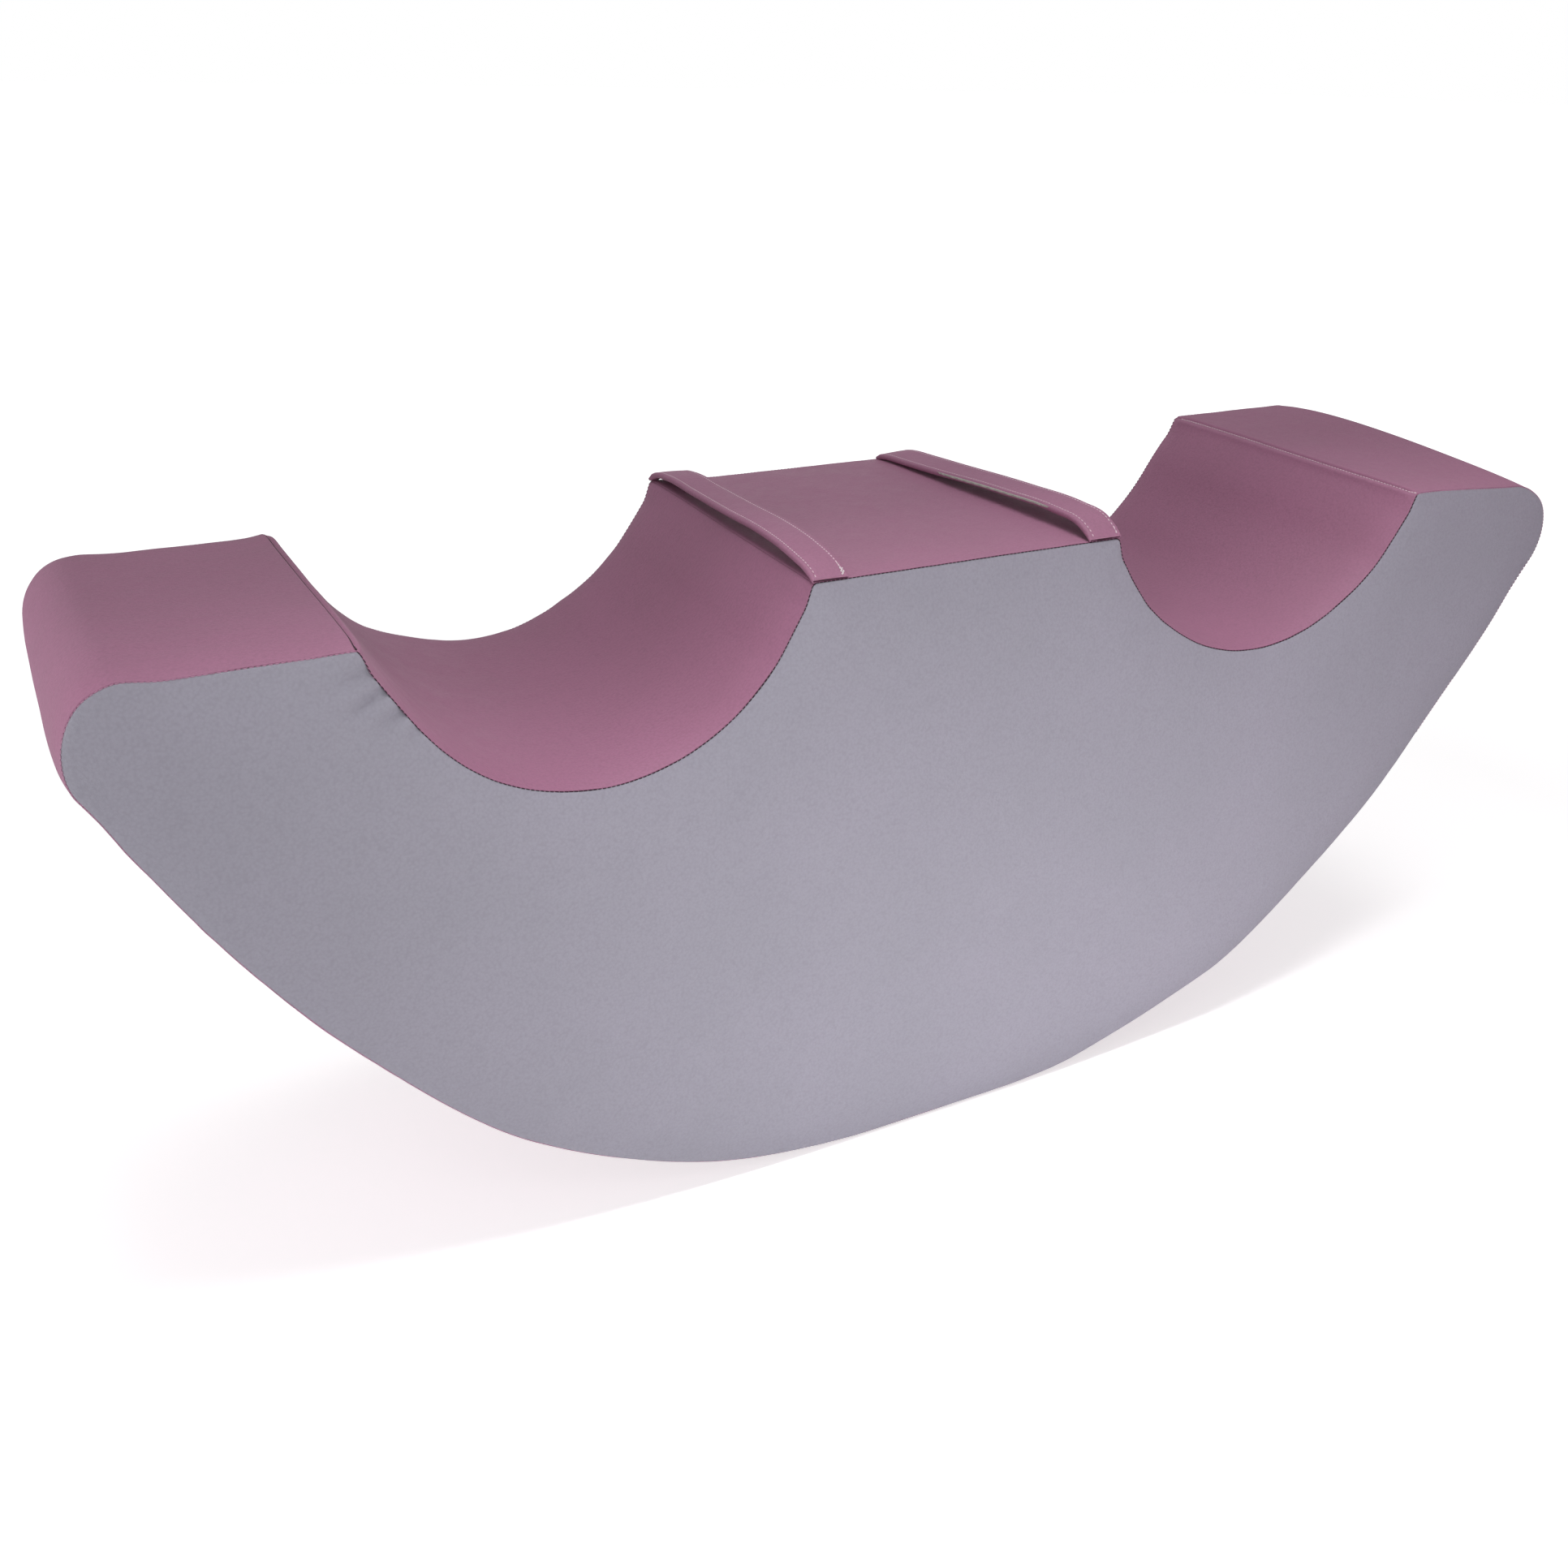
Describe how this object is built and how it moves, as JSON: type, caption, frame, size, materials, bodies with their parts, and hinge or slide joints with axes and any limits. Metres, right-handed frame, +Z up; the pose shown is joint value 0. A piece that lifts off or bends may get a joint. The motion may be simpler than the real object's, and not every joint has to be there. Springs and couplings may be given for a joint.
{
  "type": "foam rocker",
  "caption": "Boat-shaped foam rocker with two curved seat hollows and a strap handle on each side of a raised middle block.",
  "frame": {"origin": "on the floor under the middle of the rocker, at the bottom centre of its box", "axes": "+X along the rocker, +Y across it from the front side to the back side, +Z up"},
  "size_m": [1.2, 0.3, 0.496],
  "materials": {
    "foam": "open-cell foam, matte",
    "grey_cover": "soft synthetic leather, fine grain, matte",
    "mauve_cover": "soft synthetic leather, fine grain, matte",
    "webbing": "flat woven webbing",
    "zip_tape": "herringbone tape",
    "zip_coil": "nylon coil",
    "zip_metal": "plated zinc, satin"
  },
  "bodies": {
    "rocker": {"foam_core": "foam", "front_side_panel": "grey_cover", "back_side_panel": "grey_cover", "left_end_panel": "mauve_cover", "right_end_panel": "mauve_cover", "left_seat_panel": "mauve_cover", "right_seat_panel": "mauve_cover", "centre_top_panel": "mauve_cover", "bottom_panel_wide": "mauve_cover", "bottom_panel_narrow": "mauve_cover", "left_strap_cover": "mauve_cover", "right_strap_cover": "mauve_cover", "left_strap_backing": "webbing", "right_strap_backing": "webbing", "zip_tape_wide": "zip_tape", "zip_tape_narrow": "zip_tape", "zip_coil_wide": "zip_coil", "zip_coil_narrow": "zip_coil", "zip_top_stop": "zip_metal", "zip_bottom_stop": "zip_metal"},
    "slider": {"zip_slider": "zip_metal"},
    "pull_tab": {"zip_pull_tab": "zip_metal"}
  },
  "joints": [
    {"name": "zip_travel", "type": "hinge", "parent": "rocker", "child": "slider", "pos_m": [0.059, 0.105, 0.50532], "axis": [0, 1, 0], "range_deg": [0, 55]},
    {"name": "tab_swing", "type": "hinge", "parent": "slider", "child": "pull_tab", "pos_m": [0.47588, 0.105, 0.21815], "axis": [0, 1, 0], "range_deg": [-140, 34]}
  ]
}
